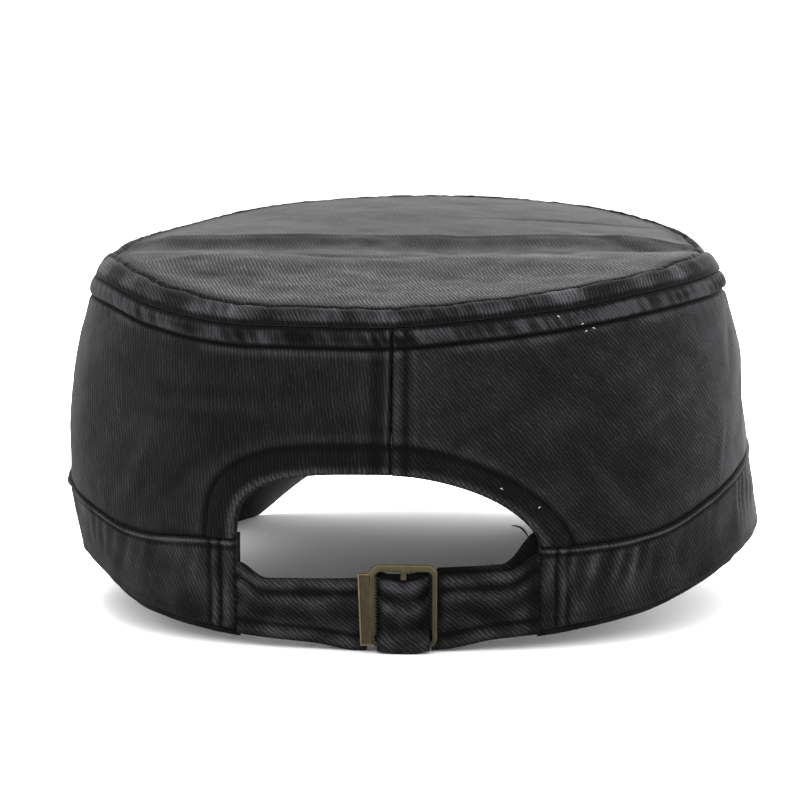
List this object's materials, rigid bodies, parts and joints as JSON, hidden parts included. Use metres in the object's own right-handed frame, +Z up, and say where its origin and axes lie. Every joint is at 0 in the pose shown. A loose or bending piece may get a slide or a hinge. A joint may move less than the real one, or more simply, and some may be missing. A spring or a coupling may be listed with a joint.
{
  "type": "patrol cap",
  "caption": "Soft flat-topped patrol cap with a drooping peak, an arched opening at the back and an adjustable strap held by a clamp buckle.",
  "frame": {"origin": "on the table below the middle of the whole cap, as it rests by itself", "axes": "+Z up, +Y towards the peak, +X towards the side of the buckle strap's tail; the strap and its buckle are at -Y"},
  "size_m": [0.1988, 0.2508, 0.1097],
  "materials": {
    "twill_top": "washed cotton twill, faded",
    "twill": "washed cotton twill",
    "twill_binding": "washed cotton twill",
    "twill_band": "washed cotton twill",
    "twill_peak": "washed cotton twill over a stiffener",
    "twill_strap": "washed cotton twill",
    "lining": "plain cotton tape",
    "brass": "dark antique brass",
    "brass_plate": "dark antique brass"
  },
  "bodies": {
    "root": {"crown_top": "twill_top", "side_panel_left": "twill", "side_panel_right": "twill", "front_panel": "twill", "arch_binding": "twill_binding", "headband": "twill_band", "sweatband": "lining", "peak": "twill_peak", "strap_long": "twill_strap", "strap_short": "twill_strap", "buckle_frame": "brass", "buckle_clamp": "brass_plate"}
  },
  "joints": []
}
